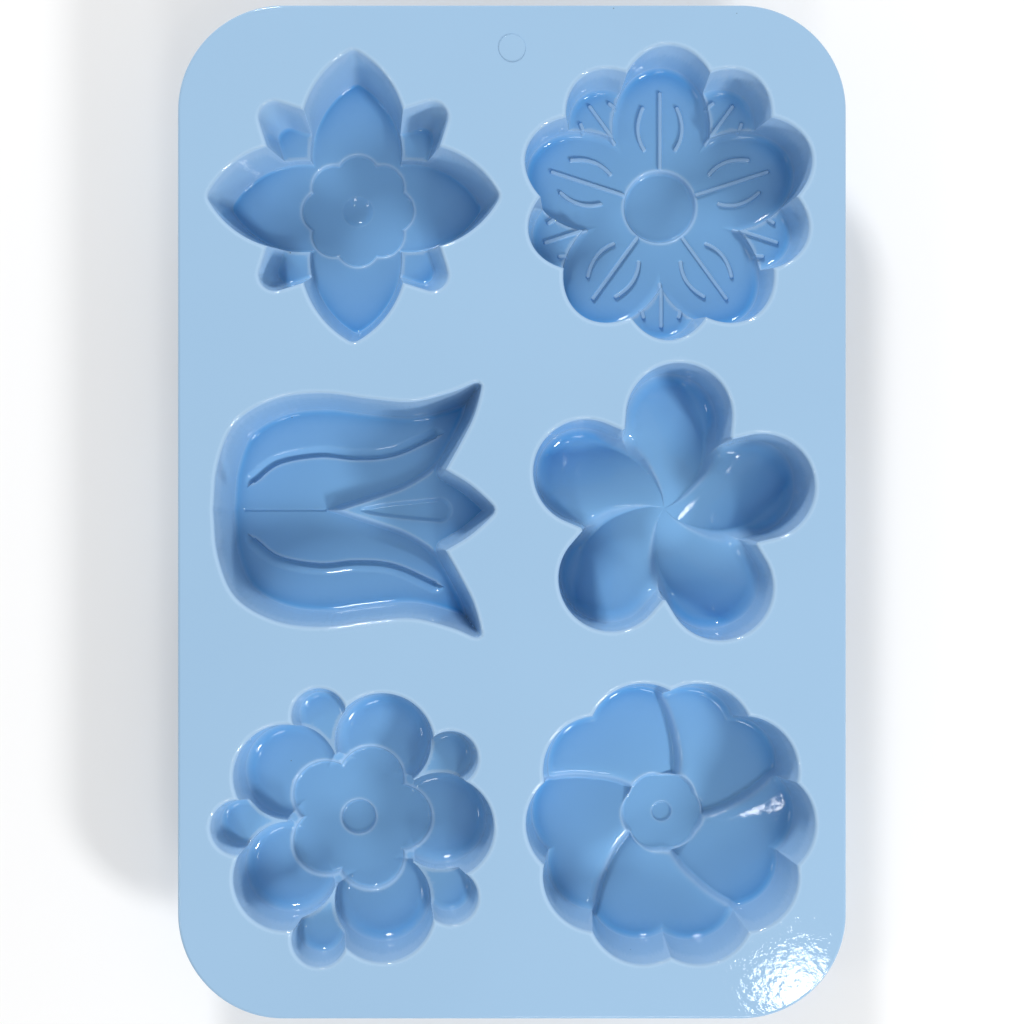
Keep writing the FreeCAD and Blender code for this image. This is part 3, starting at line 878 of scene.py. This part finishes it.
def pip_piece(material):
    """A small round raised mark near the sheet's top edge."""
    rise = [(0.0, PIP_HEIGHT)]
    for index in range(EDGE_SEGMENTS + 1):
        angle = math.radians(90.0 * index / EDGE_SEGMENTS)
        rise.append((PIP_RADIUS - PIP_HEIGHT * (1.0 - math.sin(angle)), PIP_HEIGHT * math.cos(angle)))
    rise += [(PIP_RADIUS, -PIP_FOOT), (0.0, -PIP_FOOT)]
    mesh = bpy.data.meshes.new("round_pip")
    points = []
    for radius, z in rise:
        for step in range(PIP_SEGMENTS):
            angle = 2.0 * math.pi * step / PIP_SEGMENTS
            point = Vector((radius * math.cos(angle), PIP_Y + radius * math.sin(angle), TOP + z))
            points.append(point * MM)
    faces = []
    for level in range(len(rise) - 1):
        for step in range(PIP_SEGMENTS):
            after = (step + 1) % PIP_SEGMENTS
            lower, upper = level * PIP_SEGMENTS, (level + 1) * PIP_SEGMENTS
            faces.append((lower + step, upper + step, upper + after, lower + after))
    mesh.from_pydata(points, [], faces)
    mesh.validate()
    mesh.shade_smooth()
    mesh.materials.append(material)
    piece = bpy.data.objects.new("round_pip", mesh)
    bpy.context.scene.collection.objects.link(piece)
    return piece


# --- material ---

SHEET_COLOUR = (0.33, 0.515, 0.72)
EDGE_HIGHLIGHT_COLOUR = (0.42, 0.60, 0.80)    # painted highlight on raised edges, rims and veins
EDGE_HIGHLIGHT_SHARE = 0.6
# painted shade: the cavities are a darker, deeper blue than the sheet
CAVITY_SHADE_COLOUR = (0.21, 0.45, 0.75)
FLOOR_SHADE_COLOUR = (0.06, 0.30, 0.66)    # painted shade, darkest where a floor lies close to high walls
PALE_DEPTH = (0.5, 10.0)            # below the top face, where the sheet's colour gives way to the painted cavity shade
LIT_WALL_FACING = (0.2, 0.9)            # upward part of the normal: steep walls keep nearly the sheet's pale colour, painted light
WALL_SHADE_SHARE = 0.12
SHEET_ROUGHNESS = 0.03
CAVITY_ROUGHNESS = 0.06
FINISH_DEPTH = (0.05, 0.5)          # below the top face, where one roughness gives way to the other
SILICONE_IOR = 1.41
TINT_SCALE = 14.0                   # faint clouds in the colour
TINT_DETAIL = 4.0
TINT_RANGE = (0.3, 0.7)
TINT_SHADES = (0.97, 1.0)
SPECK_SCALE = 190.0                 # a few specks of dust
SPECK_EDGE = (0.035, 0.02)
SPECK_RARITY = 0.93
SPECK_COLOUR = (0.10, 0.12, 0.14)
RIPPLE_SCALE = 450.0                # a fine unevenness that breaks up the glints
RIPPLE_DETAIL = 3.0
RIPPLE_HEIGHT = 3.0e-5              # in metres


def node_adder(tree):
    """A function that adds a node. Each input is a plain value, or another node's output to link."""
    def add(kind, inputs, **settings):
        node = tree.nodes.new("ShaderNode" + kind)
        for name, value in settings.items():
            setattr(node, name, value)
        for name, value in inputs.items():
            if isinstance(value, bpy.types.NodeSocket):
                tree.links.new(value, node.inputs[name])
            else:
                node.inputs[name].default_value = value
        return node.outputs
    return add


def silicone_material():
    material = bpy.data.materials.new("blue_silicone")
    material.use_nodes = True
    tree = material.node_tree
    shader = tree.nodes["Principled BSDF"]
    shader.inputs["IOR"].default_value = SILICONE_IOR
    add = node_adder(tree)
    where = add("TexCoord", {})
    height = add("SeparateXYZ", {"Vector": where["Object"]})["Z"]
    facing = add("SeparateXYZ", {"Vector": where["Normal"]})["Z"]

    # Painted shade: below the top face the colour turns to the darker cavity blue.
    below = add("MapRange", {"Value": height, "From Min": (TOP - PALE_DEPTH[0]) * MM,
                             "From Max": (TOP - PALE_DEPTH[1]) * MM})
    # painted light: steep walls keep nearly the sheet's pale colour
    upright = add("MapRange", {"Value": facing, "From Min": LIT_WALL_FACING[0], "From Max": LIT_WALL_FACING[1],
                               "To Min": WALL_SHADE_SHARE})
    share = add("Math", {0: below["Result"], 1: upright["Result"]}, operation="MULTIPLY")
    # painted shade: floors close to high walls turn the darkest blue
    floor_shade = add("Attribute", {}, attribute_name=FLOOR_SHADE)
    within = add("Mix", {"A": (*CAVITY_SHADE_COLOUR, 1.0), "B": (*FLOOR_SHADE_COLOUR, 1.0), "Factor": floor_shade["Fac"]},
                 data_type="RGBA")
    colour = add("Mix", {"A": (*SHEET_COLOUR, 1.0), "B": within["Result"], "Factor": share["Value"]},
                 data_type="RGBA")
    # painted highlight: raised edges, rims and veins turn paler
    painted_highlight = add("Attribute", {}, attribute_name=EDGE_HIGHLIGHT)
    raised = add("MapRange", {"Value": painted_highlight["Fac"], "To Max": EDGE_HIGHLIGHT_SHARE})
    edged = add("Mix", {"A": colour["Result"], "B": (*EDGE_HIGHLIGHT_COLOUR, 1.0), "Factor": raised["Result"]},
                data_type="RGBA")

    clouds = add("TexNoise", {"Vector": where["Object"], "Scale": TINT_SCALE, "Detail": TINT_DETAIL})
    shade = add("MapRange", {"Value": clouds["Fac"], "From Min": TINT_RANGE[0], "From Max": TINT_RANGE[1],
                             "To Min": TINT_SHADES[0], "To Max": TINT_SHADES[1]})
    tinted = add("Mix", {"A": edged["Result"], "B": shade["Result"], "Factor": 1.0},
                 data_type="RGBA", blend_type="MULTIPLY")

    specks = add("TexVoronoi", {"Vector": where["Object"], "Scale": SPECK_SCALE})
    spot = add("MapRange", {"Value": specks["Distance"], "From Min": SPECK_EDGE[0],
                            "From Max": SPECK_EDGE[1]})
    chosen = add("SeparateColor", {"Color": specks["Color"]})
    rare = add("Math", {0: chosen["Red"], 1: SPECK_RARITY}, operation="GREATER_THAN")
    amount = add("Math", {0: spot["Result"], 1: rare["Value"]}, operation="MULTIPLY")
    dusty = add("Mix", {"A": tinted["Result"], "B": (*SPECK_COLOUR, 1.0), "Factor": amount["Value"]},
                data_type="RGBA")
    tree.links.new(dusty["Result"], shader.inputs["Base Color"])

    finish = add("MapRange", {"Value": height, "From Min": (TOP - FINISH_DEPTH[0]) * MM,
                              "From Max": (TOP - FINISH_DEPTH[1]) * MM,
                              "To Min": SHEET_ROUGHNESS, "To Max": CAVITY_ROUGHNESS})
    tree.links.new(finish["Result"], shader.inputs["Roughness"])
    ripple = add("TexNoise", {"Vector": where["Object"], "Scale": RIPPLE_SCALE, "Detail": RIPPLE_DETAIL})
    bump = add("Bump", {"Height": ripple["Fac"], "Strength": 1.0, "Distance": RIPPLE_HEIGHT})
    tree.links.new(bump["Normal"], shader.inputs["Normal"])
    return material


# --- build the mould ---

SILICONE = silicone_material()
FLOWERS = {
    "lotus": (-COLUMN_X, TOP_ROW_Y, lotus_cavity, lotus_skin),
    "daisy": (COLUMN_X, TOP_ROW_Y, daisy_cavity, daisy_skin),
    "tulip": (-COLUMN_X, MIDDLE_ROW_Y, tulip_cavity, tulip_skin),
    "pinwheel": (COLUMN_X, MIDDLE_ROW_Y, pinwheel_cavity, pinwheel_skin),
    "rosette": (-COLUMN_X, BOTTOM_ROW_Y, rosette_cavity, rosette_skin),
    "blossom": (COLUMN_X, BOTTOM_ROW_Y, blossom_cavity, blossom_skin),
}

cells = []
for name, (x, y, cavity, outer) in FLOWERS.items():
    in_corner = y != MIDDLE_ROW_Y
    cells.append(((x, y), in_corner))
    flower = cell_piece(name + "_skin", (x, y), cavity, outer, in_corner, SILICONE)
    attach(flower, "root")
    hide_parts(name + "_cup")

sheet = sheet_piece(cells, SILICONE)
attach(sheet, "root")
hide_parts("top_sheet")
pip = pip_piece(SILICONE)
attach(pip, "root")


# --- stage, light and camera ---

FLOOR_HALF = 3.0                    # in metres, as all lengths of the lights are
FLOOR_COLOUR = (0.9, 0.9, 0.9)
FLOOR_ROUGHNESS = 0.9
WORLD_STRENGTH = 0.44
SOFTBOX_DISTANCE = 1.5
SOFTBOXES = {                       # azimuth and elevation in degrees, size in metres, watts
    "north_box": (104.0, 30.0, 0.22, 12.6),
    "south_east_box": (315.0, 32.0, 0.22, 11.2),
    "high_south_box": (280.0, 42.0, 0.3, 3.0),
    "west_box": (200.0, 40.0, 0.22, 1.2),
}
WINDOW_DISTANCE = 1.2
WINDOW_SEEN_AT = Vector((0.0715, -0.118, TOP * MM))     # the sheet's corner that mirrors it
WINDOW_DIRECTION = Vector((0.174, -0.239, 0.956))
WINDOW_SIZE = (0.05, 0.09)
WINDOW_POWER = 0.4

CAMERA_HEIGHT = 535.0               # above the sheet
VIEW_WIDTH = 262.5                  # of the sheet's plane
CAMERA_X = -17.5
SENSOR = 36.0

def plain_material(name, colour, roughness):
    material = bpy.data.materials.new(name)
    material.use_nodes = True
    shader = material.node_tree.nodes["Principled BSDF"]
    shader.inputs["Base Color"].default_value = (*colour, 1.0)
    shader.inputs["Roughness"].default_value = roughness
    return material


def floor_piece():
    mesh = bpy.data.meshes.new("floor")
    corners = [(x * FLOOR_HALF, y * FLOOR_HALF, 0.0) for x, y in ((-1, -1), (1, -1), (1, 1), (-1, 1))]
    mesh.from_pydata(corners, [], [(0, 1, 2, 3)])
    mesh.materials.append(plain_material("pale_floor", FLOOR_COLOUR, FLOOR_ROUGHNESS))
    floor = bpy.data.objects.new("floor", mesh)
    bpy.context.scene.collection.objects.link(floor)


def area_light(name, place, target, size, power):
    data = bpy.data.lights.new(name, "AREA")
    data.shape = "RECTANGLE"
    data.size, data.size_y = size
    data.energy = power
    light = bpy.data.objects.new(name, data)
    light.location = place
    light.rotation_euler = (Vector(target) - Vector(place)).to_track_quat("-Z", "Y").to_euler()
    bpy.context.scene.collection.objects.link(light)


def world_light(strength):
    world = bpy.data.worlds.new("studio")
    world.use_nodes = True
    background = world.node_tree.nodes["Background"]
    background.inputs["Color"].default_value = (1.0, 1.0, 1.0, 1.0)
    background.inputs["Strength"].default_value = strength
    bpy.context.scene.world = world


def camera():
    data = bpy.data.cameras.new("camera")
    data.sensor_width = SENSOR
    data.lens = SENSOR * CAMERA_HEIGHT / VIEW_WIDTH
    data.shift_x = -CAMERA_X / VIEW_WIDTH
    view = bpy.data.objects.new("camera", data)
    view.location = (CAMERA_X * MM, 0.0, (TOP + CAMERA_HEIGHT) * MM)
    bpy.context.scene.collection.objects.link(view)
    bpy.context.scene.camera = view


floor_piece()
world_light(WORLD_STRENGTH)
for name, (azimuth, elevation, size, power) in SOFTBOXES.items():
    around, up = math.radians(azimuth), math.radians(elevation)
    place = Vector((math.cos(around) * math.cos(up), math.sin(around) * math.cos(up), math.sin(up)))
    area_light(name, place * SOFTBOX_DISTANCE, (0.0, 0.0, 0.0), (size, size), power)
window_place = WINDOW_SEEN_AT + WINDOW_DIRECTION * WINDOW_DISTANCE
area_light("window", window_place, WINDOW_SEEN_AT, WINDOW_SIZE, WINDOW_POWER)
camera()
bpy.context.scene.view_settings.view_transform = "Standard"
